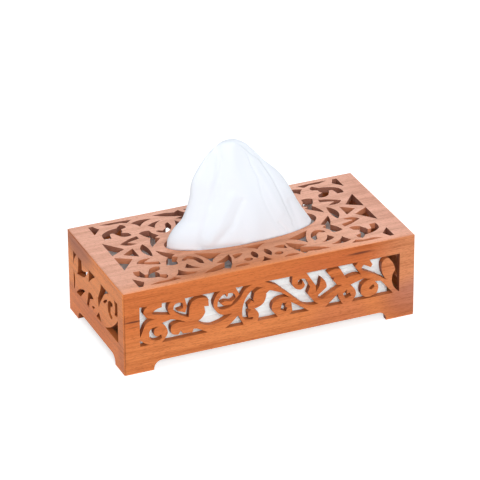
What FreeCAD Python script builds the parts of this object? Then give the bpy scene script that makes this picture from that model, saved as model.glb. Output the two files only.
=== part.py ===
"""Fretwork napkin holder: an oblong wooden box that stands on its corner feet.

Four walls and a lid, mitred at every arris, are pierced with leaf scrolls. A thin
base slides in grooves round the walls and comes out through the right-hand wall,
to put a new stack of napkins in. The napkins are pulled up through the oval in
the lid. +X runs to the right along the front, +Y to the rear and +Z up. The
origin is the middle of the footprint, on the surface the holder stands on.
"""
import FreeCAD
import Part
import Sketcher

import math
import os

# Driving sizes in millimetres.
SIZES = {
    # the box
    "Length": 260.0,
    "Width": 127.0,
    "Height": 75.0,
    "Board": 5.0,
    "Arris": 1.5,
    # the feet, left by an arch cut in each wall
    "FootHeight": 8.0,
    "FootLong": 25.8,
    "FootShort": 21.0,
    "FootRound": 7.0,
    # plain wood round the pierced fields
    "BottomRail": 16.0,
    "TopRail": 15.0,
    "LongStile": 14.0,
    "ShortStile": 13.0,
    "LidMarginEnds": 16.5,
    "LidMarginSides": 6.0,
    # the oval that the napkins come out of
    "OvalLength": 136.0,
    "OvalWidth": 46.0,
    # the sliding base
    "BaseThickness": 4.0,
    "BaseRise": 4.0,
    "GrooveDepth": 2.5,
    "RunningGap": 0.3,
    "FingerHole": 16.0,
    "FingerHoleInset": 12.7,
    # the napkins
    "StackInset": 10.0,
    "StackEndRoom": 17.0,
    "StackSideRoom": 1.2,
    "StackHeadRoom": 13.7,
    "NapkinRise": 87.0,
    "NapkinGap": 0.6,
    "NapkinBack": 4.0,
    "NapkinTip": 7.0,
}

# Each pierced hole is a list of corners (across, up, bow), clockwise as seen from
# outside. The bow is how far the edge to the next corner bulges out of the hole:
# 0 is a straight edge, and a minus sign lets the wood bulge into the hole.

LONG_FIELD = (-117.0, 115.0, 23.6, 60.0)

LONG_HOLES = {
    "left edge": [(-117.0, 60.0, 0), (-109.3, 59.6, -1.4), (-113.7, 53.0, 0),
                  (-111.0, 49.0, 0), (-103.5, 46.2, -1.8), (-113.2, 41.0, 0),
                  (-117.0, 31.8, 0)],
    "left corner": [(-117.0, 29.8, -0.9), (-108.0, 23.6, 0), (-117.0, 23.6, 0)],
    "hook": [(-106.2, 52.6, 1.0), (-97.6, 56.3, 0), (-97.6, 60.0, 0),
             (-89.3, 59.8, -2.9), (-90.0, 47.5, 0), (-105.9, 51.2, 0)],
    "lobe surround": [(-77.6, 60.0, 0), (-46.0, 60.0, -1.2), (-52.6, 50.0, -2.6),
                      (-43.5, 36.8, 0), (-36.2, 36.8, 1.2), (-53.0, 29.9, 1.6),
                      (-66.3, 36.2, -1.0), (-59.8, 43.5, 0), (-60.6, 49.0, 0),
                      (-56.6, 48.4, 0), (-57.0, 55.2, -1.2), (-67.5, 57.0, -1.6),
                      (-73.6, 49.5, 0), (-74.4, 41.8, 0.9), (-86.4, 49.6, 1.2),
                      (-86.4, 56.0, 1.2), (-79.4, 55.9, 0), (-79.2, 51.4, 0),
                      (-84.4, 49.9, 0), (-77.2, 46.8, 0), (-75.8, 52.8, 0)],
    "between scrolls": [(-98.6, 41.5, 0), (-90.0, 43.3, 0.9), (-75.3, 36.6, -1.9),
                        (-89.4, 37.2, -0.8), (-89.6, 30.0, -0.8), (-83.2, 27.8, 0),
                        (-81.6, 31.0, 0), (-79.6, 27.6, 0), (-71.4, 26.8, 0),
                        (-70.0, 30.0, 0), (-66.8, 29.4, 0), (-57.6, 23.9, 0),
                        (-98.6, 23.6, -0.9), (-92.9, 31.2, -1.7)],
    "first curl": [(-100.0, 38.4, -1.7), (-104.9, 34.3, -1.1), (-101.8, 29.9, 0),
                   (-98.6, 31.0, 0), (-98.2, 27.6, 1.1), (-105.0, 27.1, 1.4),
                   (-108.9, 33.2, 1.6), (-104.8, 38.9, 0.5)],
    "second curl": [(-32.9, 60.0, 0), (-17.0, 59.8, -1.7), (-27.4, 52.0, 1.4),
                    (-37.5, 43.3, 0.8), (-46.2, 42.7, 1.2), (-48.8, 48.5, 0.8),
                    (-46.0, 54.0, 0.6), (-42.0, 56.3, 0), (-40.4, 52.6, 0),
                    (-39.2, 56.4, 0.4), (-34.6, 55.0, 0.6), (-33.2, 50.6, 0.3),
                    (-37.0, 48.3, 0), (-42.0, 49.6, 0), (-46.4, 48.4, 0.4),
                    (-44.4, 46.0, -0.4), (-36.8, 45.4, 0.3), (-29.4, 53.2, 0)],
    "stem triangle": [(-31.0, 34.0, 0), (-25.8, 23.7, 0), (-42.8, 24.2, -0.8)],
    "stem slit": [(-7.0, 54.8, -1.2), (-16.5, 51.0, 0), (-17.5, 45.5, 0),
                  (-16.2, 42.6, 0), (-18.5, 44.8, 0), (-22.2, 41.5, 0),
                  (-21.8, 37.6, 0), (-19.2, 36.6, 0), (-22.2, 34.6, 0),
                  (-21.8, 29.6, 0), (-17.2, 29.2, 0), (-18.2, 27.0, 0),
                  (-24.6, 28.3, 0.8), (-27.3, 35.0, 0.8), (-24.0, 48.0, 1.2),
                  (-14.5, 56.4, 0)],
    "middle": [(-5.8, 49.0, 0), (-2.5, 51.2, 0), (7.5, 46.8, 0), (16.6, 39.3, -3.0),
               (0.5, 38.4, -1.3), (0.3, 30.0, 0), (4.8, 24.4, 0), (-13.6, 24.4, 0),
               (-12.2, 29.5, -1.1), (-17.0, 36.9, -0.8), (-8.5, 40.0, -0.9)],
    "third curl": [(8.6, 36.4, 0), (13.0, 36.0, 0), (11.2, 34.4, 0), (10.9, 32.6, 0),
                   (13.2, 31.2, 0), (11.8, 27.8, 0), (6.8, 30.4, 0)],
    "curl corner": [(16.6, 35.8, 0), (33.0, 23.7, 0), (15.0, 24.2, 0),
                    (17.6, 27.5, 0)],
    "diagonal": [(-7.2, 60.0, 0), (17.6, 59.8, 0), (17.2, 52.6, -1.2),
                 (24.0, 45.7, -1.4), (28.9, 49.4, 0), (27.0, 53.4, 0),
                 (26.0, 50.4, 0), (22.4, 50.2, 0), (22.8, 54.6, 1.0),
                 (29.8, 54.2, 0), (33.6, 46.4, 0), (31.2, 40.2, 0), (33.2, 37.4, 0),
                 (37.4, 31.4, 0), (41.2, 28.6, 0.9), (28.0, 31.2, 0),
                 (4.0, 54.3, 0)],
    "leaf surround": [(30.3, 60.0, 0), (76.8, 60.0, 0), (74.2, 56.2, 0),
                      (79.6, 47.9, -1.4), (66.4, 46.9, 0), (61.0, 57.0, -1.6),
                      (49.3, 55.8, 0), (52.8, 50.8, 0), (55.4, 50.6, 0),
                      (54.4, 47.6, 0), (58.0, 42.8, 0), (62.6, 41.8, 0),
                      (44.5, 32.4, 0), (39.8, 34.8, 0), (41.0, 37.0, 0),
                      (48.3, 42.6, -1.8), (43.3, 52.5, 0), (41.8, 44.5, 0),
                      (39.2, 40.7, 0), (38.6, 46.6, 0)],
    "right edge": [(87.4, 60.0, 0), (115.0, 60.0, 0), (115.0, 24.0, 1.6),
                   (108.0, 36.5, 0.9), (111.0, 45.6, -1.2), (104.5, 58.2, -1.9),
                   (98.3, 52.0, -1.4), (103.2, 37.6, -0.8), (80.8, 51.7, 1.2),
                   (82.4, 56.3, 0), (88.6, 52.9, 0), (90.0, 55.2, 0)],
    "under scroll": [(69.0, 40.0, 0), (82.0, 43.6, 0), (89.4, 41.6, -1.0),
                     (80.8, 37.4, -1.2), (80.6, 28.0, -0.8), (87.5, 25.1, 0),
                     (94.0, 27.0, -0.8), (95.4, 35.0, 0), (92.6, 38.8, 0),
                     (98.0, 38.0, 0), (109.4, 23.8, 0), (71.6, 23.8, 0),
                     (75.3, 29.5, -2.0)],
    "fourth curl": [(67.2, 36.6, 0), (66.4, 32.4, 0), (69.2, 32.9, 0),
                    (71.3, 29.6, 0), (66.0, 28.0, 0), (63.5, 33.0, 0)],
    "fifth curl": [(91.0, 36.2, 0), (92.4, 33.6, 0), (89.0, 31.4, 0),
                   (86.9, 33.4, 0)],
    "right triangle": [(58.7, 33.9, -0.8), (63.4, 23.7, 0), (47.0, 24.0, 0)],
}

SHORT_FIELD = (-50.5, 50.5, 25.0, 60.0)

SHORT_HOLES = {
    "front corner": [(50.5, 45.0, 0), (50.5, 25.0, 0), (21.0, 25.0, -2.2)],
    "front edge": [(42.5, 60.0, 0), (50.5, 60.0, 0), (50.5, 48.0, 0),
                   (43.6, 46.8, -1.8)],
    "curl": [(29.4, 52.0, 1.6), (39.6, 54.6, 0), (39.0, 51.4, 0),
             (35.0, 50.6, 0), (34.2, 44.6, 0), (38.4, 42.4, 0),
             (37.6, 39.8, 1.2), (29.6, 42.0, 1.2)],
    "leaf back": [(13.0, 60.0, 0), (32.0, 60.0, -0.8), (19.5, 53.0, 0),
                  (11.0, 42.5, 0), (7.6, 35.6, 0), (5.6, 43.5, 0),
                  (11.0, 52.5, -0.8)],
    "leaf vein": [(17.5, 45.8, 1.0), (27.5, 52.6, 1.6)],
    "low triangle": [(7.5, 32.0, 0), (12.5, 25.0, 0), (1.0, 25.0, 0)],
    "top triangle": [(-14.0, 60.0, 0), (1.0, 60.0, -0.8), (-14.6, 48.4, 0)],
    "long leaf": [(-38.5, 60.0, 0), (-31.0, 60.0, 0), (-30.5, 52.2, -1.2),
                  (-16.0, 57.6, 0.8), (-26.0, 47.2, 0), (-41.8, 43.0, -1.0)],
    "hook": [(-16.0, 38.4, 2.0), (-4.6, 37.6, 0), (-12.2, 34.4, -0.8),
             (-15.4, 25.0, 0), (-21.0, 25.0, 0)],
    "seed": [(-9.4, 28.6, 1.0), (-1.6, 31.4, 1.2)],
    "low leaf": [(-44.5, 25.0, 2.2), (-23.8, 36.0, 0), (-35.0, 25.6, 0)],
    "rear edge": [(-50.5, 60.0, 0), (-43.0, 60.0, -1.2), (-50.5, 47.0, 0)],
    "rear slit": [(-50.5, 25.0, 0), (-50.5, 43.5, 3.2)],
}

# The lid repeats in its four quarters. This is the right-hand rear one.
LID_FIELD = (-113.5, 113.5, -57.5, 57.5)

QUARTER_HOLES = {
    "end triangle": [(113.5, 1.8, 0), (100.0, 9.5, 0), (113.5, 25.5, 0)],
    "drop": [(77.8, 3.3, 0), (65.5, 15.8, 0), (69.2, 18.3, 0), (64.8, 20.8, 0),
             (68.6, 27.0, 0), (69.2, 32.0, 1.4), (78.8, 30.5, 0), (76.8, 24.3, 0),
             (73.0, 18.8, 1.0)],
    "chevron": [(100.2, 18.6, 1.2), (92.5, 13.4, 0), (86.0, 13.7, 0), (93.8, 18.6, 0),
                (88.5, 20.5, 0), (82.0, 22.0, 0), (82.4, 27.0, 0),
                (90.0, 24.5, 0)],
    "trefoil": [(102.8, 31.2, 0), (101.6, 38.0, -1.9), (97.4, 36.8, 0),
                (94.4, 31.6, 1.6), (85.0, 30.4, 0), (86.4, 35.2, 0),
                (91.6, 37.6, 0.9), (89.8, 43.2, 0), (84.6, 45.2, 1.6),
                (88.0, 51.4, 0), (92.2, 46.8, 1.6), (107.6, 40.5, 0.9),
                (108.4, 31.0, 0)],
    "corner": [(113.5, 42.0, 0), (106.2, 50.5, 0), (109.8, 57.3, 0),
               (113.5, 57.3, 0)],
    "border wave": [(103.8, 57.2, 0), (96.0, 54.4, 0), (86.5, 54.6, 0),
                    (81.0, 52.2, 0), (75.6, 56.4, 0.8)],
    "wedge": [(73.2, 41.6, -2.0), (59.2, 51.0, 2.4), (78.2, 50.0, -0.8)],
    "crescent": [(64.4, 28.8, 1.4), (57.0, 23.4, 1.9), (48.7, 34.5, 0),
                 (49.4, 40.0, 0), (52.6, 38.0, 0), (54.6, 31.0, 0),
                 (58.6, 27.4, 0), (62.0, 29.4, 0)],
    "thorn": [(62.7, 34.6, -1.9), (53.0, 45.4, 1.3), (66.8, 40.8, 0)],
    "funnel": [(50.8, 20.6, 0), (29.8, 29.3, -1.6), (42.8, 40.8, -1.2)],
    "zigzag": [(25.4, 33.6, 0), (25.6, 40.5, 0), (29.2, 50.5, 0), (33.2, 57.2, 0),
               (37.6, 54.6, 0), (46.0, 56.6, 0), (57.0, 56.2, 0), (46.5, 50.2, 0),
               (33.8, 45.4, 0), (40.6, 43.8, 0), (33.0, 39.2, 0)],
    "petal": [(23.4, 36.6, 1.4), (14.0, 36.8, 0.8), (23.4, 42.8, 0)],
    "leaf": [(5.4, 36.3, 2.6), (6.2, 48.9, 3.0)],
    "bean": [(9.8, 48.2, 2.7), (17.4, 48.0, 2.7)],
    "border leaf": [(15.2, 56.2, 0.6), (28.8, 56.4, 3.2)],
}

# Holes on the lid's long middle line, at its right-hand end.
END_LINE_HOLES = {
    "fan": [(93.5, -7.8, 0), (93.5, 7.8, 0), (104.7, 0, 0)],
    "almond": [(83.3, -11.5, 1.8), (83.3, 11.5, 5.3)],
}

# Holes on the lid's short middle line, at its rear.
MID_LINE_HOLES = {
    "heart": [(10.6, 27.0, 0), (-10.6, 27.0, -0.9), (0, 34.6, -0.9)],
    "arrow": [(0, 48.4, -0.8), (-5.4, 56.2, 0), (5.4, 56.2, -0.8)],
}

# The pulled napkin as seen from the front: across, and up from the lid.
NAPKIN_FIELD = (-68.0, 68.0, 0.0, 87.0)

NAPKIN_OUTLINE = [(-68.0, -40.0, 0), (-68.0, 0, 0), (-65.5, 18.0, 0),
                  (-50.0, 35.0, 0), (-44.0, 57.0, 0), (-30.0, 77.0, 0),
                  (-16.0, 87.0, 0), (-5.0, 87.0, 0), (13.0, 75.0, 0),
                  (44.0, 39.0, 0), (68.0, 0, 0), (68.0, -40.0, 0)]

BASE_UNDERSIDE = "Sizes.FootHeight + Sizes.BaseRise"
BASE_TOP = f"{BASE_UNDERSIDE} + Sizes.BaseThickness"
GROOVE_LOW = f"{BASE_UNDERSIDE} - Sizes.RunningGap"
GROOVE_HIGH = f"{BASE_TOP} + Sizes.RunningGap"
STACK_BOTTOM = f"{BASE_TOP} + Sizes.RunningGap"
STACK_TOP = "Sizes.Height - Sizes.Board - Sizes.StackHeadRoom"
NAPKIN_BOTTOM = f"{STACK_TOP} + Sizes.RunningGap"


def make_sheet(doc):
    """Write the driving sizes into a sheet, one alias for each."""
    sheet = doc.addObject("Spreadsheet::Sheet", "Sizes")
    for row, (alias, amount) in enumerate(SIZES.items(), start=1):
        sheet.set(f"A{row}", alias)
        sheet.set(f"B{row}", str(amount))
        sheet.setAlias(f"B{row}", alias)
    doc.recompute()
    return sheet


def size(doc, expression):
    """Work out a length from the sheet's names, in millimetres."""
    return float(doc.Sizes.evalExpression(expression))


def add_sketch(body, role, name):
    """Start a sketch on one of the body's own origin planes."""
    plane = next(item for item in body.Origin.OriginFeatures if item.Role == role)
    sketch = body.newObject("Sketcher::SketchObject", name)
    sketch.AttachmentSupport = [(plane, "")]
    sketch.MapMode = "FlatFace"
    return sketch


def hold(sketch, kind, values, expression):
    """Add one dimension to a sketch and bind it to the sheet."""
    amount = size(sketch.Document, expression)
    index = sketch.addConstraint(Sketcher.Constraint(kind, *values, amount))
    sketch.setExpression(f"Constraints[{index}]", expression)


def draw_polygon(sketch, corners):
    """Join corners with straight edges, each corner held by two expressions."""
    doc = sketch.Document
    points = [FreeCAD.Vector(size(doc, x), size(doc, y), 0) for x, y in corners]
    start = sketch.GeometryCount
    edges = [Part.LineSegment(a, b) for a, b in zip(points, points[1:] + points[:1])]
    sketch.addGeometry(edges)
    for index, (x, y) in enumerate(corners):
        edge = start + index
        before = start + (index - 1) % len(corners)
        sketch.addConstraint(Sketcher.Constraint("Coincident", before, 2, edge, 1))
        hold(sketch, "DistanceX", (-1, 1, edge, 1), x)
        hold(sketch, "DistanceY", (-1, 1, edge, 1), y)


def draw_rectangle(sketch, left, right, low, high):
    """Draw an upright rectangle between four expressions."""
    draw_polygon(sketch, [(left, low), (left, high), (right, high), (right, low)])


def draw_outline(sketch, corners, field, target, flip_x=1, flip_y=1):
    """Draw one closed outline, stretched from its field to the target field.

    A bowed edge is an arc through three stretched points, so that the edges of
    an outline still meet only at its corners when one size is changed.
    """
    left, right, low, high = field
    new_left, new_right, new_low, new_high = target
    scale_x = (new_right - new_left) / (right - left)
    scale_y = (new_high - new_low) / (high - low)

    def place(x, y):
        return FreeCAD.Vector(new_left + (flip_x * x - left) * scale_x,
                              new_low + (flip_y * y - low) * scale_y, 0)

    edges = []
    for (x, y, bow), (next_x, next_y, _) in zip(corners, corners[1:] + corners[:1]):
        start, end = place(x, y), place(next_x, next_y)
        if bow == 0:
            edges.append(Part.LineSegment(start, end))
            continue
        share = bow / math.hypot(next_x - x, next_y - y)
        middle = place((x + next_x) / 2 - (next_y - y) * share,
                       (y + next_y) / 2 + (next_x - x) * share)
        edges.append(Part.Arc(start, middle, end))
    sketch.addGeometry(edges)


def add_pad(body, sketch, thickness, reverse=False, centred=False):
    """Pad a sketch by an expression, to one side of its plane or centred on it."""
    pad = body.newObject("PartDesign::Pad", f"{sketch.Name}_pad")
    pad.Profile = sketch
    pad.setExpression("Length", thickness)
    pad.Reversed = reverse
    pad.SideType = "Symmetric" if centred else "One side"
    body.Document.recompute()
    return pad


def cut_through(body, sketch):
    """Cut a sketch right through the body, to both sides of its plane."""
    before = body.Shape.Volume
    pocket = body.newObject("PartDesign::Pocket", f"{sketch.Name}_cut")
    pocket.Profile = sketch
    pocket.SideType = "Two sides"
    pocket.Type = "ThroughAll"
    pocket.Type2 = "ThroughAll"
    body.Document.recompute()
    if not body.Shape.Volume < before:
        raise RuntimeError(f"{pocket.Name} cuts nothing")
    return pocket


def round_edges(body, chosen, radius):
    """Fillet the edges of the body's last feature that a test picks."""
    base = body.Tip
    names = [f"Edge{number}" for number, edge in enumerate(base.Shape.Edges, start=1)
             if chosen(edge.BoundBox)]
    fillet = body.newObject("PartDesign::Fillet", f"{body.Name}_round")
    fillet.Base = (base, names)
    fillet.setExpression("Radius", radius)
    body.Document.recompute()
    return fillet


def is_near(one, other):
    """Tell whether two coordinates are the same to a thousandth."""
    return abs(one - other) < 0.001


def add_wall(doc, label, span, stile, foot, holes, field):
    """Make a mitred, pierced wall with its outer face on the XZ plane.

    span, stile and foot are expressions: the wall's length, the plain wood beside
    its fretwork and the length of its feet. Inwards is +Y.
    """
    body = doc.addObject("PartDesign::Body", label)
    half = size(doc, f"({span}) / 2")
    height = size(doc, "Sizes.Height")

    blank = add_sketch(body, "XZ_Plane", f"{label}_blank")
    draw_rectangle(blank, f"-({span}) / 2", f"({span}) / 2", "0 mm", "Sizes.Height")
    add_pad(body, blank, "Sizes.Board", reverse=True)

    def is_outer_arris(box):
        outer = is_near(box.YMax, 0)
        upright = is_near(box.XMax, box.XMin) and is_near(abs(box.XMin), half)
        return outer and (upright or is_near(box.ZMin, height))

    round_edges(body, is_outer_arris, "Sizes.Arris")

    mitres = add_sketch(body, "XY_Plane", f"{label}_mitres")
    for side in ("-", ""):
        draw_polygon(mitres, [
            (f"{side}(({span}) / 2 + 1)", "-1 mm"),
            (f"{side}(({span}) / 2 - Sizes.Board - 1)", "Sizes.Board + 1"),
            (f"{side}(({span}) / 2 + 1)", "Sizes.Board + 1"),
        ])
    cut_through(body, mitres)

    bevel = add_sketch(body, "YZ_Plane", f"{label}_bevel")
    draw_polygon(bevel, [
        ("-1 mm", "Sizes.Height + 1"),
        ("Sizes.Board + 1", "Sizes.Height + 1"),
        ("Sizes.Board + 1", "Sizes.Height - Sizes.Board - 1"),
    ])
    cut_through(body, bevel)

    arch = add_sketch(body, "XZ_Plane", f"{label}_arch")
    draw_rectangle(arch, f"{foot} - ({span}) / 2", f"({span}) / 2 - {foot}",
                   "-1 mm", "Sizes.FootHeight")
    cut_through(body, arch)
    foot_height = size(doc, "Sizes.FootHeight")
    foot_edge = half - size(doc, foot)

    def is_arch_corner(box):
        beside = is_near(abs(box.XMin), foot_edge) and is_near(box.XMin, box.XMax)
        return beside and is_near(box.ZMin, foot_height) and box.YLength > 1

    round_edges(body, is_arch_corner, "Sizes.FootRound")

    fretwork = add_sketch(body, "XZ_Plane", f"{label}_fretwork")
    target = (
        size(doc, f"{stile} - ({span}) / 2"),
        size(doc, f"({span}) / 2 - {stile}"),
        size(doc, "Sizes.FootHeight + Sizes.BottomRail"),
        size(doc, "Sizes.Height - Sizes.TopRail"),
    )
    for corners in holes.values():
        draw_outline(fretwork, corners, field, target)
    cut_through(body, fretwork)
    return body


def cut_groove(body):
    """Cut the groove for the base along a wall's inner face."""
    groove = add_sketch(body, "YZ_Plane", f"{body.Label}_groove")
    draw_rectangle(groove, "Sizes.Board - Sizes.GrooveDepth", "Sizes.Board + 1",
                   GROOVE_LOW, GROOVE_HIGH)
    cut_through(body, groove)


def cut_base_slot(body):
    """Cut the slot that the base comes out of."""
    slot = add_sketch(body, "XZ_Plane", f"{body.Label}_slot")
    half = "(Sizes.Width / 2 - Sizes.Board + Sizes.GrooveDepth)"
    draw_rectangle(slot, f"-{half}", half, GROOVE_LOW, GROOVE_HIGH)
    cut_through(body, slot)


def add_lid(doc, label):
    """Make the pierced lid with its oval, bevelled under all four edges."""
    body = doc.addObject("PartDesign::Body", label)
    half_length = size(doc, "Sizes.Length / 2")
    half_width = size(doc, "Sizes.Width / 2")
    board = size(doc, "Sizes.Board")

    blank = add_sketch(body, "XY_Plane", f"{label}_blank")
    draw_rectangle(blank, "-Sizes.Length / 2", "Sizes.Length / 2",
                   "-Sizes.Width / 2", "Sizes.Width / 2")
    add_pad(body, blank, "Sizes.Board")

    def is_outer_arris(box):
        corner = is_near(abs(box.XMin), half_length) and is_near(abs(box.YMin), half_width)
        upright = corner and box.ZLength > 1
        return upright or is_near(box.ZMin, board)

    round_edges(body, is_outer_arris, "Sizes.Arris")

    for role, span in (("XZ_Plane", "Sizes.Length"), ("YZ_Plane", "Sizes.Width")):
        bevel = add_sketch(body, role, f"{label}_bevel_{role[:2]}")
        for side in ("-", ""):
            draw_polygon(bevel, [
                (f"{side}({span} / 2 + 1)", "Sizes.Board + 1"),
                (f"{side}({span} / 2 - Sizes.Board - 1)", "-1 mm"),
                (f"{side}({span} / 2 + 1)", "-1 mm"),
            ])
        cut_through(body, bevel)

    oval = add_sketch(body, "XY_Plane", f"{label}_oval")
    draw_oval(oval, "Sizes.OvalLength / 2", "Sizes.OvalWidth / 2")
    cut_through(body, oval)

    fretwork = add_sketch(body, "XY_Plane", f"{label}_fretwork")
    reach_x = size(doc, "Sizes.Length / 2 - Sizes.LidMarginEnds")
    reach_y = size(doc, "Sizes.Width / 2 - Sizes.LidMarginSides")
    target = (-reach_x, reach_x, -reach_y, reach_y)
    for flip_x in (-1, 1):
        for corners in END_LINE_HOLES.values():
            draw_outline(fretwork, corners, LID_FIELD, target, flip_x=flip_x)
        for flip_y in (-1, 1):
            for corners in QUARTER_HOLES.values():
                draw_outline(fretwork, corners, LID_FIELD, target, flip_x, flip_y)
    for flip_y in (-1, 1):
        for corners in MID_LINE_HOLES.values():
            draw_outline(fretwork, corners, LID_FIELD, target, flip_y=flip_y)
    cut_through(body, fretwork)
    body.setExpression("Placement.Base.z", "Sizes.Height - Sizes.Board")
    return body


def draw_oval(sketch, half_length, half_width):
    """Draw an ellipse about the sketch's origin, held by two expressions."""
    doc = sketch.Document
    tip = FreeCAD.Vector(size(doc, half_length), 0, 0)
    side = FreeCAD.Vector(0, size(doc, half_width), 0)
    ellipse = sketch.addGeometry(Part.Ellipse(tip, side, FreeCAD.Vector()))
    sketch.exposeInternalGeometry(ellipse)
    long_axis, short_axis = ellipse + 1, ellipse + 2
    sketch.addConstraint(Sketcher.Constraint("Coincident", ellipse, 3, -1, 1))
    sketch.addConstraint(Sketcher.Constraint("Horizontal", long_axis))
    hold(sketch, "Distance", (long_axis,), f"2 * ({half_length})")
    hold(sketch, "Distance", (short_axis,), f"2 * ({half_width})")


def add_base(doc, label):
    """Make the sliding base with its finger hole."""
    body = doc.addObject("PartDesign::Body", label)
    left = "Sizes.Board - Sizes.GrooveDepth + Sizes.RunningGap - Sizes.Length / 2"
    right = "Sizes.Length / 2 - Sizes.RunningGap"
    half = "(Sizes.Width / 2 - Sizes.Board + Sizes.GrooveDepth - Sizes.RunningGap)"
    board = add_sketch(body, "XY_Plane", f"{label}_board")
    draw_rectangle(board, left, right, f"-{half}", half)
    add_pad(body, board, "Sizes.BaseThickness")

    hole = add_sketch(body, "XY_Plane", f"{label}_finger_hole")
    centre = f"{right} - Sizes.FingerHoleInset"
    start = FreeCAD.Vector(size(doc, centre), 0, 0)
    radius = size(doc, "Sizes.FingerHole / 2")
    circle = hole.addGeometry(Part.Circle(start, FreeCAD.Vector(0, 0, 1), radius))
    hold(hole, "DistanceX", (-1, 1, circle, 3), centre)
    hold(hole, "DistanceY", (-1, 1, circle, 3), "0 mm")
    hold(hole, "Diameter", (circle,), "Sizes.FingerHole")
    cut_through(body, hole)
    body.setExpression("Placement.Base.z", BASE_UNDERSIDE)
    return body


def add_stack(doc, label):
    """Make the folded napkins as one plain block on the base."""
    stack = doc.addObject("Part::Box", label)
    left = "(Sizes.Board + Sizes.StackInset - Sizes.Length / 2)"
    right = "(Sizes.Length / 2 - Sizes.Board - Sizes.StackEndRoom)"
    half = "(Sizes.Width / 2 - Sizes.Board - Sizes.StackSideRoom)"
    stack.setExpression("Length", f"{right} - {left}")
    stack.setExpression("Width", f"2 * {half}")
    stack.setExpression("Height", f"{STACK_TOP} - ({STACK_BOTTOM})")
    stack.setExpression("Placement.Base.x", left)
    stack.setExpression("Placement.Base.y", f"-{half}")
    stack.setExpression("Placement.Base.z", STACK_BOTTOM)
    return stack


def add_pulled_napkin(doc, label):
    """Make the napkin that stands up out of the oval, as one plain soft solid.

    It is what its front view, its side view and a twelve-sided plan inside the
    oval have in common.
    """
    top = size(doc, "Sizes.Height")
    reach = size(doc, "Sizes.OvalLength / 2")
    target = (-reach, reach, top, top + size(doc, "Sizes.NapkinRise"))
    front = doc.addObject("PartDesign::Body", f"{label}_front_view")
    outline = add_sketch(front, "XZ_Plane", f"{label}_front_outline")
    draw_outline(outline, NAPKIN_OUTLINE, NAPKIN_FIELD, target)
    add_pad(front, outline, "Sizes.Width", centred=True)

    side = doc.addObject("PartDesign::Body", f"{label}_side_view")
    outline = add_sketch(side, "YZ_Plane", f"{label}_side_outline")
    draw_polygon(outline, [
        ("-Sizes.OvalWidth / 2", NAPKIN_BOTTOM),
        ("-Sizes.OvalWidth / 2", "Sizes.Height"),
        ("-Sizes.NapkinTip", "Sizes.Height + Sizes.NapkinRise"),
        ("0 mm", "Sizes.Height + Sizes.NapkinRise"),
        ("Sizes.NapkinBack", "Sizes.Height"),
        ("Sizes.NapkinBack", NAPKIN_BOTTOM),
    ])
    add_pad(side, outline, "Sizes.Length", centred=True)

    plan = doc.addObject("PartDesign::Body", f"{label}_plan")
    outline = add_sketch(plan, "XY_Plane", f"{label}_plan_outline")
    draw_polygon(outline, [
        (f"(Sizes.OvalLength / 2 - Sizes.NapkinGap) * cos({angle} deg)",
         f"(Sizes.OvalWidth / 2 - Sizes.NapkinGap) * sin({angle} deg)")
        for angle in range(0, 360, 30)
    ])
    add_pad(plan, outline, "Sizes.Height + Sizes.NapkinRise + 1")

    napkin = doc.addObject("Part::MultiCommon", label)
    napkin.Shapes = [front, side, plan]
    return napkin


def stand_wall(body, quarter_turns, reach):
    """Turn a wall about the upright axis and move its face out to its side."""
    angle = 90 * quarter_turns
    outwards = FreeCAD.Rotation(FreeCAD.Vector(0, 0, 1), angle)
    away = outwards.multVec(FreeCAD.Vector(0, -1, 0))
    body.Placement.Rotation = outwards
    for axis in ("x", "y"):
        side = round(getattr(away, axis))
        body.setExpression(f"Placement.Base.{axis}", f"{side} * {reach}")


def check(doc):
    """Stop if any object failed to rebuild."""
    for item in doc.Objects:
        failed = {"Invalid", "Error"} & set(item.State)
        if failed:
            raise RuntimeError(f"{item.Name} is {failed}")


def main():
    """Build the holder and write one file for each of its pieces."""
    doc = FreeCAD.newDocument("NapkinHolder")
    make_sheet(doc)
    pieces = [add_lid(doc, "top_panel")]
    long_wall = ("Sizes.Length", "Sizes.LongStile", "Sizes.FootLong",
                 LONG_HOLES, LONG_FIELD)
    short_wall = ("Sizes.Width", "Sizes.ShortStile", "Sizes.FootShort",
                  SHORT_HOLES, SHORT_FIELD)
    walls = (
        ("front_panel", 0, "Sizes.Width / 2", long_wall, cut_groove),
        ("right_panel", 1, "Sizes.Length / 2", short_wall, cut_base_slot),
        ("rear_panel", 2, "Sizes.Width / 2", long_wall, cut_groove),
        ("left_panel", 3, "Sizes.Length / 2", short_wall, cut_groove),
    )
    for label, quarter_turns, reach, pattern, cut_seat in walls:
        wall = add_wall(doc, label, *pattern)
        cut_seat(wall)
        stand_wall(wall, quarter_turns, reach)
        pieces.append(wall)
    pieces.append(add_base(doc, "base_panel"))
    pieces.append(add_stack(doc, "napkin_stack"))
    pieces.append(add_pulled_napkin(doc, "pulled_napkin"))
    doc.recompute()
    check(doc)
    os.makedirs("parts", exist_ok=True)
    for piece in pieces:
        shape = piece.Shape
        if shape.isNull() or not shape.isValid():
            raise RuntimeError(f"{piece.Label} has no valid shape")
        print(f"{piece.Label}: {len(shape.Solids)} solid, {shape.Volume:.0f} mm3")
        shape.exportStep(f"parts/{piece.Label}.step")


main()
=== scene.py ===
"""Looks of the fretwork napkin holder.

The boards keep their CAD shapes and get stained, grained wood. The stack of folded
napkins and the napkin pulled up through the oval are modelled here, in the places
that their CAD solids hold.
"""
import math

import bmesh
import bpy
from mathutils import Matrix, Vector, noise


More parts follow.
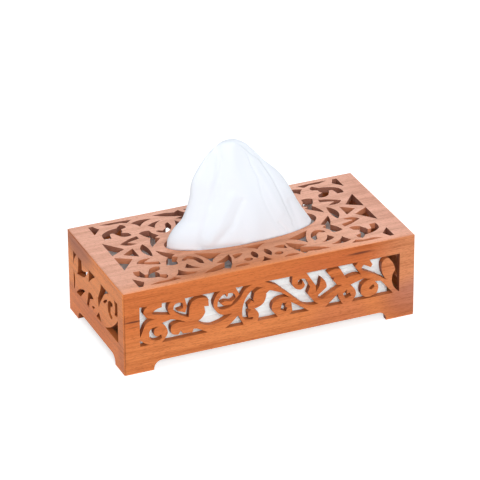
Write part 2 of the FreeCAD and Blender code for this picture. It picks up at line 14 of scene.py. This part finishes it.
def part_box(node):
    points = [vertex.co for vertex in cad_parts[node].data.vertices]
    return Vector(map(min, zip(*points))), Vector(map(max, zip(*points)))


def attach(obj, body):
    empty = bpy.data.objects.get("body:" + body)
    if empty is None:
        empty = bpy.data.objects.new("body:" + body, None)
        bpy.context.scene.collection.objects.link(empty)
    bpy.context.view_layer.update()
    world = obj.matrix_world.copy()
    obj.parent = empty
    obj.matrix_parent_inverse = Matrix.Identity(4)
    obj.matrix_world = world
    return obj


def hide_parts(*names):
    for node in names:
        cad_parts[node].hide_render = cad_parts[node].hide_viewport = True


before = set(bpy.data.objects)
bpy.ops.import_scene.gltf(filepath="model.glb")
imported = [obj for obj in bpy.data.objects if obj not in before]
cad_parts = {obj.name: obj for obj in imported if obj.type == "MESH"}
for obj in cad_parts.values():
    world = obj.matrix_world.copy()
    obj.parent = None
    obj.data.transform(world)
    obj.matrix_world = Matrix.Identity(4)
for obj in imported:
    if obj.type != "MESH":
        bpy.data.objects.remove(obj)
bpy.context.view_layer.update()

MM = 0.001
WHITE = (1, 1, 1, 1)

# The photograph's view of the object. The camera looks parallel to the line that the
# angles and the target give, from a place to the left of that line and above it.
VIEW_AZIMUTH = math.radians(-23.069)
VIEW_ELEVATION = math.radians(27.477)
VIEW_ROLL = math.radians(-0.381)
VIEW_DISTANCE = 2.7718
VIEW_LENS_MM = 249.3
VIEW_TARGET = Vector((0.0, 0.0, 0.0416))
VIEW_LEFT = 0.8 * MM
VIEW_RISE = 22.4 * MM


# ---------------------------------------------------------------- node helpers

class Material:
    """A node material with a Principled shader and short calls to add nodes."""

    def __init__(self, name):
        self.data = bpy.data.materials.new(name)
        self.data.use_nodes = True
        self.tree = self.data.node_tree
        self.shader = self.tree.nodes["Principled BSDF"]
        self.output = self.tree.nodes["Material Output"]

    def node(self, kind, inputs=None, **settings):
        """Add a node, set its properties, and fill or link its inputs."""
        made = self.tree.nodes.new(f"ShaderNode{kind}")
        for key, value in settings.items():
            setattr(made, key, value)
        self.fill(made, inputs or {})
        return made

    def fill(self, node, inputs):
        """Fill or link inputs of a node by name or number."""
        for key, value in inputs.items():
            self.feed(node.inputs[key], value)

    def feed(self, socket, value):
        """Link an output to a socket, or set the socket to a plain value."""
        if isinstance(value, bpy.types.NodeSocket):
            self.tree.links.new(value, socket)
        else:
            socket.default_value = value

    def math(self, operation, first, second=0.0, third=0.0):
        """Add one Math node and give its output."""
        made = self.node("Math", {0: first, 1: second, 2: third}, operation=operation)
        return made.outputs[0]

    def step(self, value, start, end):
        """Go smoothly from 0 to 1 as value goes from start to end, up or down."""
        made = self.node("MapRange", {"Value": value, "From Min": start, "From Max": end},
                         interpolation_type="SMOOTHSTEP")
        return made.outputs["Result"]

    def stretched(self, vector, scale, offset=(0, 0, 0)):
        """Scale coordinates by axis, so that a noise stretches along the smallest."""
        made = self.node("Mapping", {"Vector": vector, "Location": offset,
                                     "Scale": scale})
        return made.outputs["Vector"]

    def noise(self, vector, detail, roughness=0.5, distortion=0.0):
        """Add a noise whose scale is already in its coordinates."""
        made = self.node("TexNoise", {"Vector": vector, "Scale": 1.0, "Detail": detail,
                                      "Roughness": roughness,
                                      "Distortion": distortion})
        return made.outputs["Fac"]

    def away(self, place, centre, half):
        """Measure how far a place is from a centre, with 1 at the half lengths."""
        shift = self.node("VectorMath", {0: place, 1: centre}, operation="SUBTRACT")
        scaled = self.node("VectorMath", {0: shift.outputs[0], 1: half},
                           operation="DIVIDE")
        length = self.node("VectorMath", {0: scaled.outputs[0]}, operation="LENGTH")
        return length.outputs["Value"]

    def mix(self, factor, first, second, blend="MIX"):
        """Mix two colours.

        The Mix node has sockets of the same names for each kind of value. Those for
        colours are inputs 6 and 7 and output 2.
        """
        made = self.node("Mix", {"Factor": factor}, data_type="RGBA", blend_type=blend)
        self.fill(made, {6: first, 7: second})
        return made.outputs[2]

    def bump(self, height, distance, strength):
        """Turn a height into a normal."""
        made = self.node("Bump", {"Height": height, "Distance": distance,
                                  "Strength": strength})
        return made.outputs["Normal"]


def tone(red, green, blue):
    """Turn display values from 0 to 255 into linear light, by the sRGB curve."""
    linear = []
    for value in (red, green, blue):
        share = value / 255
        low = share <= 0.04045
        linear.append(share / 12.92 if low else ((share + 0.055) / 1.055) ** 2.4)
    return (*linear, 1.0)


# ------------------------------------------------------------------- materials

# The stain of the boards, and the flecks and streaks in them.
WOOD_FRONT = tone(200, 110, 56)
WOOD_LEFT = tone(238, 142, 74)
WOOD_REAR = tone(204, 120, 66)
WOOD_LID = tone(232, 171, 145)
FLECK = tone(140, 66, 32)
STREAK = tone(92, 44, 26)

# The faces inside the fretwork, where the saw cut. Their colours are darker partly as
# scorching and partly as painted shade on the faces that look sideways or down. Painted
# light makes the faces that look up lighter. On the lid, the second colour is painted
# shade on the cut faces of the rear half, and it also darkens the end grain.
CUT_SIDE_SCORCH_AND_SHADE = tone(112, 52, 32)
CUT_TOP_PAINTED_LIGHT = tone(196, 110, 60)
CUT_LID = tone(200, 120, 78)
CUT_LID_SHADED_REAR_AND_END_GRAIN = tone(106, 52, 38)

# The plain board of the sliding base, and the paper. The stack's paper is painted lighter
# than the napkin's, as painted light for the shade that it lies in inside the box.
BASE_DARK = tone(170, 112, 66)
BASE_PALE = tone(196, 140, 90)
STACK_PAPER_PAINTED_LIGHTER = tone(248, 254, 255)
NAPKIN_PAPER = tone(235, 241, 249)

# The noises of the wood, in waves per metre along the grain and beside it. The first
# three add up to the grain, by their shares.
WAVER_WAVES, WAVER_SHARE = (14, 40), 0.10
BAND_WAVES, BAND_SHARE = (7, 150), 0.45
FIBRE_WAVES, FIBRE_SHARE = (36, 1300), 0.45
SPECK_WAVES = (330, 2700)

# How far a board's noises are shifted along X, Y and Z for each step of its seed.
SEED_SHIFT = (1.7, 0.9, 2.3)

# Tints of the grain, from its dark lines to its pale ones, and where each is full.
GRAIN_DARK, GRAIN_DARK_AT = (0.74, 0.64, 0.56, 1), 0.36
GRAIN_PLAIN_AT = 0.5
GRAIN_PALE, GRAIN_PALE_AT = (1.14, 1.18, 1.22, 1), 0.64

# How much of the stain the flecks and the colours of the cut faces cover, where they are
# full, and how far the bands of the grain fray the streaks. The colours of the cut faces
# hold painted light and painted shade besides scorching.
FLECK_STRENGTH = 0.38
CUT_STRENGTH = 0.75
STREAK_FRAY = 1.4

# The wood's roughness, what its fibres add to it, and the relief of wood and paper.
WOOD_ROUGHNESS, FIBRE_ROUGHNESS = 0.40, 0.18
WOOD_BUMP, PAPER_BUMP = 0.6, 0.5
BUMP_DEPTH = 0.12 * MM

# Where something starts to show and where it is full, by the measure named beside it.
FLECK_SPAN = (0.60, 0.72)         # the speck noise
TINT_SPAN = (1.2, 0.4)            # half lengths away from the tint's centre
STREAK_SPAN = (1.8, 0.9)          # half lengths away from the streak's centre, frayed
CUT_SPAN = (0.35, 0.05)           # how squarely a face looks across its board
# The looks-up span places the painted light on cut faces. The lid's rear span places the
# painted shade.
LOOKS_UP_SPAN = (0.2, 0.9)        # how squarely a face looks up
LID_REAR_SPAN = (-0.010, 0.030)   # metres along Y
END_GRAIN_SPAN = (0.45, 0.90)     # how squarely a face looks along X
BASE_SPAN = (0.35, 0.65)          # the fibre noise of the base

# The noises of the base board and of the paper, in waves per metre along X, Y and Z.
BASE_WAVES = (40, 900, 900)
CRINKLE_WAVES, CRINKLE_SHARE = (420, 420, 420), 0.8
PAPER_FIBRE_WAVES = (2600, 2600, 900)

# Where a board's colour differs: (centre, half lengths along X, Y and Z, tint), in
# metres. The tint multiplies the board's colour and fades out towards the edge.
FRONT_TINTS = (
    ((0.0, -0.0635, 0.0), (0.40, 0.05, 0.040), (1.18, 1.42, 1.70, 1)),
    ((0.14, -0.0635, 0.062), (0.05, 0.05, 0.058), (1.08, 1.48, 2.50, 1)),
    ((0.128, -0.0635, 0.016), (0.034, 0.05, 0.022), (0.70, 0.65, 0.85, 1)),
    ((0.060, -0.0635, 0.066), (0.055, 0.05, 0.009), (0.95, 0.88, 0.94, 1)),
    ((0.062, -0.0635, 0.012), (0.032, 0.05, 0.024), (0.88, 0.84, 1.00, 1)),
)
LEFT_TINTS = (
    ((-0.13, 0.038, 0.072), (0.05, 0.036, 0.018), (0.58, 0.54, 0.76, 1)),
    ((-0.13, 0.020, 0.0), (0.05, 0.100, 0.040), (0.92, 0.82, 0.86, 1)),
    ((-0.13, -0.060, 0.025), (0.05, 0.012, 0.035), (0.82, 0.78, 0.90, 1)),
)
LID_TINTS = (
    ((-0.02, -0.080, 0.075), (0.18, 0.034, 0.05), (1.06, 0.76, 0.42, 1)),
    ((-0.012, -0.042, 0.075), (0.112, 0.042, 0.05), (0.84, 0.76, 0.64, 1)),
    ((0.0, 0.0, 0.075), (0.105, 0.060, 0.05), (0.94, 0.88, 0.82, 1)),
    ((0.135, 0.0, 0.075), (0.030, 0.10, 0.05), (0.92, 0.85, 0.82, 1)),
)

# Dark streaks of the grain: (centre, half lengths along X, Y and Z, strength).
FRONT_STREAKS = (
    ((0.080, -0.0635, 0.0684), (0.016, 0.02, 0.0014), 0.9),
    ((-0.1215, -0.0635, 0.0480), (0.013, 0.02, 0.0013), 0.95),
    ((-0.121, -0.0635, 0.0430), (0.012, 0.02, 0.0008), 0.5),
    ((-0.1292, -0.0635, 0.0340), (0.0008, 0.004, 0.044), 0.5),
)


def wood_material(name, across, seed, stain, cut_colours_with_light, tints=(), streaks=()):
    """Stained beech with its grain along X, or along Y where across is "X".

    across is the axis that the board's broad faces look along. Each seed gives another
    piece of grain. The two colours after the stain go on the faces that the saw left, and
    they hold painted shade and painted light besides scorching.
    """
    material = Material(name)
    place = material.node("TexCoord").outputs["Object"]
    offset = tuple(seed * shift for shift in SEED_SHIFT)

    def grained(along, beside):
        """Give coordinates at one scale along the grain and another beside it."""
        scale = [beside, beside, beside]
        scale[1 if across == "X" else 0] = along
        return material.stretched(place, scale, offset)

    waver = material.noise(grained(*WAVER_WAVES), detail=1.0)
    bands = material.noise(grained(*BAND_WAVES), detail=3.0, roughness=0.55,
                           distortion=0.25)
    fibres = material.noise(grained(*FIBRE_WAVES), detail=3.0, roughness=0.6)
    specks = material.noise(grained(*SPECK_WAVES), detail=0.0)
    grain = material.math("MULTIPLY_ADD", fibres, FIBRE_SHARE, 0.0)
    grain = material.math("MULTIPLY_ADD", bands, BAND_SHARE, grain)
    grain = material.math("MULTIPLY_ADD", waver, WAVER_SHARE, grain)

    colour = material.mix(1.0, stain, grain_tint(material, grain), "MULTIPLY")
    for centre, half, tint in tints:
        near = material.step(material.away(place, centre, half), *TINT_SPAN)
        colour = material.mix(near, colour, tint, "MULTIPLY")
    is_fleck = material.step(specks, *FLECK_SPAN)
    fleck = material.math("MULTIPLY", is_fleck, FLECK_STRENGTH)
    colour = material.mix(fleck, colour, FLECK)
    for centre, half, strength in streaks:
        away = material.away(place, centre, half)
        frayed = material.math("MULTIPLY_ADD", bands, STREAK_FRAY, away)
        near = material.step(frayed, *STREAK_SPAN)
        colour = material.mix(material.math("MULTIPLY", near, strength), colour, STREAK)

    material.fill(material.shader, {
        "Base Color": cut_faces_scorch_and_light(material, place, colour, across, cut_colours_with_light),
        "Roughness": material.math("MULTIPLY_ADD", fibres, FIBRE_ROUGHNESS,
                                   WOOD_ROUGHNESS),
        "Specular IOR Level": 0.18,
        "Normal": material.bump(grain, BUMP_DEPTH, WOOD_BUMP),
    })
    return material.data


def grain_tint(material, grain):
    """Turn the height of the grain into a tint, from dark to pale."""
    ramp = material.node("ValToRGB", {"Fac": grain})
    elements = ramp.color_ramp.elements
    elements[0].position = GRAIN_DARK_AT
    elements[0].color = GRAIN_DARK
    elements[1].position = GRAIN_PALE_AT
    elements[1].color = GRAIN_PALE
    elements.new(GRAIN_PLAIN_AT).color = WHITE
    return ramp.outputs["Color"]


def cut_faces_scorch_and_light(material, place, colour, across, cut_colours_with_light):
    """Darken the faces that the saw left inside the fretwork, partly as scorching and
    partly as painted shade.

    The second of the two cut colours is painted light for the faces of a wall that look
    up. On the lid it is painted shade for the rear half, and it also darkens the end
    grain, the faces that look along X.
    """
    normal = material.node("TexCoord").outputs["Normal"]
    parts = material.node("SeparateXYZ", {"Vector": normal})
    facing = material.math("ABSOLUTE", parts.outputs[across])
    is_cut = material.step(facing, *CUT_SPAN)
    if across == "Z":
        axes = material.node("SeparateXYZ", {"Vector": place})
        # Painted shade: the lid's cut faces are darker on its rear half.
        is_rear = material.step(axes.outputs["Y"], *LID_REAR_SPAN)
        endways = material.math("ABSOLUTE", parts.outputs["X"])
        is_end = material.step(endways, *END_GRAIN_SPAN)
        is_second = material.math("MAXIMUM", is_rear, is_end)
    else:
        # Painted light: the cut faces that look up take the lighter second colour.
        is_second = material.step(parts.outputs["Z"], *LOOKS_UP_SPAN)
    cut = material.mix(is_second, *cut_colours_with_light)
    return material.mix(material.math("MULTIPLY", is_cut, CUT_STRENGTH), colour, cut)


def paper_material(name, colour):
    """Soft tissue paper: matt, with fine crinkles."""
    material = Material(name)
    place = material.node("TexCoord").outputs["Object"]
    crinkle = material.noise(material.stretched(place, CRINKLE_WAVES), detail=4.0,
                             roughness=0.6)
    fibre = material.noise(material.stretched(place, PAPER_FIBRE_WAVES), detail=2.0)
    height = material.math("MULTIPLY_ADD", crinkle, CRINKLE_SHARE, fibre)
    material.fill(material.shader, {
        "Base Color": colour,
        "Roughness": 0.9,
        "Specular IOR Level": 0.15,
        "Sheen Weight": 0.15,
        "Normal": material.bump(height, BUMP_DEPTH, PAPER_BUMP),
    })
    return material.data


def board_material(name):
    """Plain board of the sliding base."""
    material = Material(name)
    place = material.node("TexCoord").outputs["Object"]
    fibres = material.noise(material.stretched(place, BASE_WAVES), detail=3.0,
                            roughness=0.6)
    is_pale = material.step(fibres, *BASE_SPAN)
    material.fill(material.shader, {
        "Base Color": material.mix(is_pale, BASE_DARK, BASE_PALE),
        "Roughness": 0.6,
    })
    return material.data


def dress(node, material):
    """Give a CAD node its finish."""
    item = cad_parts[node]
    item.data.materials.clear()
    item.data.materials.append(material)


# --------------------------------------------------------------------- napkins

def join_rings(build, rings):
    """Join each closed ring of corners to the next one with faces."""
    for below, above in zip(rings, rings[1:]):
        for index in range(len(below)):
            after = (index + 1) % len(below)
            build.faces.new((below[index], below[after], above[after], above[index]))


def finish_mesh(name, build, material):
    """Turn a bmesh into a smooth-shaded object with one material."""
    mesh = bpy.data.meshes.new(name)
    build.to_mesh(mesh)
    build.free()
    for face in mesh.polygons:
        face.use_smooth = True
    mesh.materials.append(material)
    item = bpy.data.objects.new(name, mesh)
    bpy.context.scene.collection.objects.link(item)
    return item


# The folds of the stack, and how far it stays inside its CAD solid at top and bottom.
STACK_FOLDS = 30
STACK_SKIN = 0.5 * MM

# Steps of the stack's mesh along its front, right, rear and left side.
STACK_STEPS = (80, 40, 80, 40)

# The rounded side of one fold from its bottom up: (share of its thickness, how far
# the side is drawn in there), in millimetres.
FOLD_SIDE = ((0.03, 0.16), (0.3, 0.03), (0.7, 0.03), (0.97, 0.16))

# How unevenly the folds lie on each other: in millimetres, in waves per metre along
# the sides, and in waves per fold.
FOLD_UNEVEN = 0.6
FOLD_UNEVEN_WAVES = 16
FOLD_UNEVEN_CHANGE = 0.5


def stack_ring(low, high, height, inset, level):
    """Points of one level round the stack, its faces drawn in by a little."""
    corners = (Vector((low.x, low.y)), Vector((high.x, low.y)),
               Vector((high.x, high.y)), Vector((low.x, high.y)))
    inwards = (Vector((0, 1)), Vector((-1, 0)), Vector((0, -1)), Vector((1, 0)))
    points = []
    for side, count in enumerate(STACK_STEPS):
        start, end = corners[side], corners[(side + 1) % 4]
        for index in range(count):
            flat = start.lerp(end, index / count)
            uneven = noise.noise(Vector((flat.x * FOLD_UNEVEN_WAVES,
                                         flat.y * FOLD_UNEVEN_WAVES,
                                         level * FOLD_UNEVEN_CHANGE)))
            drawn = inset + (0.5 + 0.5 * uneven) * FOLD_UNEVEN * MM
            spot = flat + inwards[side] * drawn
            if index == 0:
                spot += inwards[side - 1] * drawn
            points.append(Vector((spot.x, spot.y, height)))
    return points


def make_stack(material):
    """Build the stack of folded napkins as rounded folds lying on each other."""
    low, high = (Vector(corner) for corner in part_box("napkin_stack"))
    low.z += STACK_SKIN
    fold = (high.z - STACK_SKIN - low.z) / STACK_FOLDS
    build = bmesh.new()
    rings = []
    for level in range(STACK_FOLDS):
        for share, inset in FOLD_SIDE:
            height = low.z + (level + share) * fold
            ring = stack_ring(low, high, height, inset * MM, level)
            rings.append([build.verts.new(point) for point in ring])
    join_rings(build, rings)
    build.faces.new(rings[-1])
    build.faces.new(list(reversed(rings[0])))
    stack = finish_mesh("stack_of_napkins", build, material)
    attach(stack, "box")
    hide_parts("napkin_stack")


# The pulled napkin's outline in the XZ plane, in millimetres: its left and right
# folded edges from the oval up to the peak.
NAPKIN_LEFT = ((-67.0, 75), (-66.4, 82), (-63.0, 88.5), (-58.6, 93.5), (-53.8, 98.2),
               (-50.4, 105), (-47.8, 112), (-46.0, 120), (-44.8, 129.5), (-40.5, 139),
               (-33.4, 149), (-26.5, 156.0), (-18.5, 161.4), (-11, 162.8))
NAPKIN_RIGHT = ((62.4, 75), (58.6, 81), (53.9, 88.5), (49.4, 96.5), (45.2, 105),
                (41.2, 112.6), (37.4, 119.2), (32.8, 125.4), (27, 131.6),
                (19.6, 138.6), (12.6, 147), (6, 154.6), (0, 159.4), (-6, 162.4))

# Folds in one layer of the napkin: (kind, height, half width above and below, line
# from the top down in the XZ plane), in millimetres. A soft fold swells by its
# height. A lapped one drops behind its line, on the line's right-hand side.
FRONT_FOLDS = (
    ("soft", -2.0, 2.6, 4.4, ((-22, 158), (-21.9, 148), (-22.7, 137), (-25, 126.6),
                              (-28, 116), (-33.3, 102.6), (-38.8, 89), (-42.5, 77))),
    ("soft", 1.2, 4.5, 6.0, ((-13.6, 115), (-22.6, 100.4), (-35.2, 82.8))),
    ("soft", -0.8, 2.5, 3.5, ((-4.7, 111.5), (-15.5, 91.6), (-31.7, 78.3))),
    ("soft", 1.3, 6.0, 8.0, ((-10.9, 158), (-10.2, 136), (-0.9, 117), (5, 97.5),
                             (3.4, 76))),
    ("lapped", 1.5, 3.5, 6.0, ((-4, 158.3), (4.8, 148.4), (13.7, 140.3), (17.3, 134),
                               (23.5, 122.7), (29.8, 107.6), (34.3, 95.6),
                               (38.9, 83.5))),
    ("lapped", 0.9, 3.5, 5.0, ((1.9, 148.5), (4.7, 138.9), (9.7, 126.9), (11.7, 111.8),
                               (15.8, 99.9), (21.2, 87.6), (25.7, 77.4))),
    ("soft", 0.6, 2.0, 3.0, ((7.5, 140.6), (16.4, 124.2), (23.5, 108), (30.7, 93.6))),
    ("soft", -1.1, 1.1, 1.2, ((27.6, 85.4), (31.2, 80.9), (34.8, 74.9))),
    ("soft", 0.7, 3.0, 4.0, ((38, 114), (48.7, 94.7), (57.9, 77))),
    ("soft", -0.6, 2.4, 3.0, ((39.6, 99.6), (44.2, 86.3), (46.5, 76.5))),
    ("soft", -1.5, 4.0, 7.0, ((-30.2, 150), (-33.3, 133), (-32.8, 114))),
    ("soft", -1.7, 2.4, 2.4, ((-41, 75), (-26, 74.6), (-9, 74))),
)
REAR_FOLDS = (
    ("soft", 1.8, 4.0, 6.0, ((-8, 158), (-14, 138), (-26, 112), (-33, 76))),
    ("soft", -2.0, 3.0, 5.0, ((-4, 156), (2, 136), (0, 110), (-6, 76))),
    ("lapped", 2.2, 5.0, 7.0, ((2, 152), (12, 134), (19, 112), (22, 76))),
    ("soft", -1.8, 3.0, 5.0, ((-28, 146), (-38, 120), (-50, 90))),
    ("soft", 1.6, 3.0, 5.0, ((26, 122), (38, 102), (48, 78))),
)

# How wide the step is by which a lapped fold drops, in millimetres.
LAP_STEP = 0.9

# The sheet's two layers meet at the ridge. Between their edges they stand off it by
# a depth, and by a flare that grows from the peak down, all in millimetres. No point
# of them lies further back than the limit.
RIDGE_Y = -2.2
FRONT_DEPTH, FRONT_FLARE, FRONT_FLARE_POWER = 3.2, 17.6, 1.1
REAR_DEPTH, REAR_FLARE = 2.0, 4.2
REAR_LIMIT_Y = 5.6

# The top share of the sheet, in which its layers close over the peak.
CLOSING_SHARE = 0.1

# How soon the folds are whole, going in from the layers' edges and down from the peak.
WHOLE_FROM_EDGE, WHOLE_FROM_PEAK = 2.6, 1.4

# The skirt below the lid ends a gap above the CAD solid's foot, in millimetres. At its
# foot it is drawn in by these shares, towards X = 0 and towards this Y.
SKIRT_GAP = 0.3
SKIRT_DRAWN_X, SKIRT_DRAWN_Y = 0.03, 0.08
SKIRT_MIDDLE_Y = -6

# Half lengths of the room in the oval, in millimetres, and how far forward the sheet
# may lean for each millimetre above the lid.
ROOM_X, ROOM_Y = 67.2, 22.0
LEAN = 1.5

# Steps of the sheet's mesh along its front and rear layer, up the sheet and up the
# skirt. Those up the sheet are closer together at the peak.
FRONT_STEPS, REAR_STEPS = 150, 84
SHEET_STEPS, SKIRT_STEPS = 92, 10
SHEET_STEP_POWER = 1.15
MERGE_DISTANCE = 0.02 * MM


def along(line, share):
    """Give a point on the smooth curve through a line's points, at a share of it."""
    place = share * (len(line) - 1)
    index = min(int(place), len(line) - 2)
    before, start, end, after = (
        Vector(line[min(max(index + step, 0), len(line) - 1)]) for step in (-1, 0, 1, 2))
    part = place - index
    straight = (end - before) * part
    bend = (before * 2 - start * 5 + end * 4 - after) * part ** 2
    twist = (start * 3 - before - end * 3 + after) * part ** 3
    return start + (straight + bend + twist) / 2


def off_line(line, spot):
    """Measure how far a spot lies right of a line that runs down, and how far along."""
    best = None
    for index, (start, end) in enumerate(zip(line, line[1:])):
        start, end = Vector(start), Vector(end)
        way = end - start
        share = (spot - start).dot(way) / way.length_squared
        share = min(1.0, max(0.0, share))
        away = spot - (start + way * share)
        if best is None or away.length < abs(best[0]):
            right = away.x * -way.y + away.y * way.x
            best = (math.copysign(away.length, right), (index + share) / (len(line) - 1))
    return best


def fold_height(folds, spot):
    """Add up how far the folds swell at a spot in the XZ plane, in millimetres."""
    total = 0.0
    for kind, height, above, below, line in folds:
        away, share = off_line(line, spot)
        width = above + (below - above) * share
        if kind == "soft":
            total += height * math.exp(-(away / width) ** 2)
        elif away > 0:
            dropped = 1 - math.exp(-(away / LAP_STEP) ** 2)
            total -= height * dropped * math.exp(-away / width)
    return total


def sheet_point(turn, share):
    """Give X, Y and Z of a point of the sheet above the lid, in millimetres.

    turn goes from -1 to 1 along the front layer and on to 3 along the rear one. share
    goes from 0 at the lid to 1 at the peak.
    """
    is_front = turn <= 1
    across = turn if is_front else 2 - turn
    left, right = along(NAPKIN_LEFT, share), along(NAPKIN_RIGHT, share)
    flat = left.lerp(right, 0.5 + 0.5 * math.sin(across * math.pi / 2))
    spread = math.cos(across * math.pi / 2)
    closing = max(0.0, (share - (1 - CLOSING_SHARE)) / CLOSING_SHARE)
    closed = math.sqrt(max(0.0, 1 - closing * closing))
    keep = min(1.0, WHOLE_FROM_EDGE * spread) * min(1.0, WHOLE_FROM_PEAK * closed)
    if is_front:
        depth = FRONT_FLARE * (1 - share) ** FRONT_FLARE_POWER + FRONT_DEPTH
        y = RIDGE_Y - depth * spread * closed - fold_height(FRONT_FOLDS, flat) * keep
    else:
        depth = REAR_FLARE * (1 - share) + REAR_DEPTH
        y = RIDGE_Y + depth * spread * closed + fold_height(REAR_FOLDS, flat) * keep
    return flat.x, min(y, REAR_LIMIT_Y), flat.y


def make_napkin(material):
    """Build the pulled napkin as a thin sheet, folded over its peak and gathered.

    Its front layer stands in the oval's front half and its rear layer behind it.
    Both go down through the oval to the stack.
    """
    low = Vector(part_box("pulled_napkin")[0])
    lid_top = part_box("top_panel")[1][2] / MM
    foot = low.z / MM + SKIRT_GAP
    build = bmesh.new()

    def corner(turn, share, height=None):
        """Add a corner of the sheet, or of its skirt where a height is given."""
        x, y, z = sheet_point(turn, share)
        if height is not None:
            drop = (lid_top - height) / (lid_top - foot)
            x *= 1 - SKIRT_DRAWN_X * drop
            y = SKIRT_MIDDLE_Y + (y - SKIRT_MIDDLE_Y) * (1 - SKIRT_DRAWN_Y * drop)
            z = height
        rim = ROOM_Y * math.sqrt(max(0.0, 1 - (x / ROOM_X) ** 2))
        y = max(y, -rim - max(0.0, z - lid_top) * LEAN)
        return build.verts.new(Vector((x, y, z)) * MM)

    turns = [-1 + 2 * index / FRONT_STEPS for index in range(FRONT_STEPS)]
    turns += [1 + 2 * index / REAR_STEPS for index in range(REAR_STEPS)]
    rings = []
    for level in range(SKIRT_STEPS):
        height = foot + (lid_top - foot) * level / SKIRT_STEPS
        rings.append([corner(turn, 0.0, height) for turn in turns])
    for level in range(SHEET_STEPS + 1):
        share = 1 - (1 - level / SHEET_STEPS) ** SHEET_STEP_POWER
        rings.append([corner(turn, share) for turn in turns])
    join_rings(build, rings)
    bmesh.ops.remove_doubles(build, verts=build.verts, dist=MERGE_DISTANCE)
    napkin = finish_mesh("napkin_sheet", build, material)
    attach(napkin, "napkin")
    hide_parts("pulled_napkin")


# ----------------------------------------------------------------------- stage

FLOOR_SIZE = 12
FLOOR_COLOUR = (0.8, 0.8, 0.8, 1)
FLOOR_GLOW = 0.60
SKY_COLOUR = (0.97, 0.985, 1.0, 1)
SKY_STRENGTH = 0.30
CAMERA_REACH = 50

# Square lamps: (name, place and side in metres, power in watts).
LAMPS = (
    ("key", (-0.56, -2.02, 1.16), 1.1, 31),
    ("fill", (1.3, -1.8, 1.0), 1.6, 8),
    ("left", (-2.0, -0.3, 0.6), 1.2, 5),
    ("back", (1.3, 1.8, 1.0), 1.8, 27),
    ("overhead", (0.0, 0.0, 1.6), 1.2, 5),
)


def make_floor():
    """Lay a plain white floor that keeps a soft shadow."""
    bpy.ops.mesh.primitive_plane_add(size=FLOOR_SIZE)
    floor = bpy.context.object
    floor.name = "floor"
    material = Material("floor")
    material.fill(material.shader, {
        "Base Color": FLOOR_COLOUR,
        "Roughness": 1.0,
        "Specular IOR Level": 0.0,
    })
    path = material.node("LightPath")
    seen = material.math("MAXIMUM", path.outputs["Is Camera Ray"],
                         path.outputs["Is Glossy Ray"])
    seen = material.math("MAXIMUM", seen, path.outputs["Is Transmission Ray"])
    strength = material.math("MULTIPLY", seen, FLOOR_GLOW)
    glow = material.node("Emission", {"Color": WHITE, "Strength": strength})
    both = material.node("AddShader", {0: material.shader.outputs[0],
                                       1: glow.outputs[0]})
    material.feed(material.output.inputs["Surface"], both.outputs[0])
    floor.data.materials.append(material.data)


def make_world():
    """Light everything softly from all round, in front of a white background."""
    world = bpy.data.worlds.new("studio")
    bpy.context.scene.world = world
    world.use_nodes = True
    tree = world.node_tree
    background = tree.nodes["Background"]
    path = tree.nodes.new("ShaderNodeLightPath")
    mix = tree.nodes.new("ShaderNodeMixShader")
    white = tree.nodes.new("ShaderNodeBackground")
    white.inputs["Color"].default_value = WHITE
    background.inputs["Color"].default_value = SKY_COLOUR
    background.inputs["Strength"].default_value = SKY_STRENGTH
    tree.links.new(path.outputs["Is Camera Ray"], mix.inputs["Fac"])
    tree.links.new(background.outputs[0], mix.inputs[1])
    tree.links.new(white.outputs[0], mix.inputs[2])
    tree.links.new(mix.outputs[0], tree.nodes["World Output"].inputs["Surface"])


def add_softbox(name, place, size, power):
    """Hang a square lamp that looks at the object."""
    data = bpy.data.lights.new(name, "AREA")
    data.size = size
    data.energy = power
    lamp = bpy.data.objects.new(name, data)
    bpy.context.scene.collection.objects.link(lamp)
    lamp.location = place
    aim = VIEW_TARGET - Vector(place)
    lamp.rotation_euler = aim.to_track_quat("-Z", "Y").to_euler()


def make_camera():
    """Stand the camera where the photograph was taken from."""
    level = math.cos(VIEW_ELEVATION)
    back = Vector((math.sin(VIEW_AZIMUTH) * level, -math.cos(VIEW_AZIMUTH) * level,
                   math.sin(VIEW_ELEVATION)))
    right = Vector((math.cos(VIEW_AZIMUTH), math.sin(VIEW_AZIMUTH), 0))
    turn = Matrix.Rotation(VIEW_ROLL, 3, back)
    right = turn @ right
    up = back.cross(right)
    data = bpy.data.cameras.new("camera")
    data.lens = VIEW_LENS_MM
    data.clip_end = CAMERA_REACH
    camera = bpy.data.objects.new("camera", data)
    bpy.context.scene.collection.objects.link(camera)
    place = VIEW_TARGET + back * VIEW_DISTANCE - right * VIEW_LEFT + up * VIEW_RISE
    axes = Matrix((right, up, back)).transposed().to_4x4()
    camera.matrix_world = Matrix.Translation(place) @ axes
    bpy.context.scene.camera = camera


def main():
    """Dress the holder, lay the napkins and set the stage."""
    bpy.context.scene.view_settings.view_transform = "Standard"
    # The cut faces take scorching with painted shade, and painted light where they look
    # up.
    cut_colours_with_light = (CUT_SIDE_SCORCH_AND_SHADE, CUT_TOP_PAINTED_LIGHT)
    dress("front_panel", wood_material("wood_front", "Y", 1.0, WOOD_FRONT, cut_colours_with_light,
                                       FRONT_TINTS, FRONT_STREAKS))
    dress("rear_panel", wood_material("wood_rear", "Y", 2.0, WOOD_REAR, cut_colours_with_light))
    dress("left_panel", wood_material("wood_left", "X", 3.0, WOOD_LEFT, cut_colours_with_light,
                                      LEFT_TINTS))
    dress("right_panel", wood_material("wood_right", "X", 4.0, WOOD_REAR, cut_colours_with_light))
    # The lid's second cut colour is painted shade on its rear half.
    dress("top_panel", wood_material("wood_lid", "Z", 5.0, WOOD_LID,
                                     (CUT_LID, CUT_LID_SHADED_REAR_AND_END_GRAIN), LID_TINTS))
    dress("base_panel", board_material("base_board"))
    # The stack's paper is painted lighter, as painted light inside the box.
    make_stack(paper_material("stack_paper_painted_light", STACK_PAPER_PAINTED_LIGHTER))
    make_napkin(paper_material("napkin_paper", NAPKIN_PAPER))
    make_floor()
    make_world()
    for lamp in LAMPS:
        add_softbox(*lamp)
    make_camera()


main()
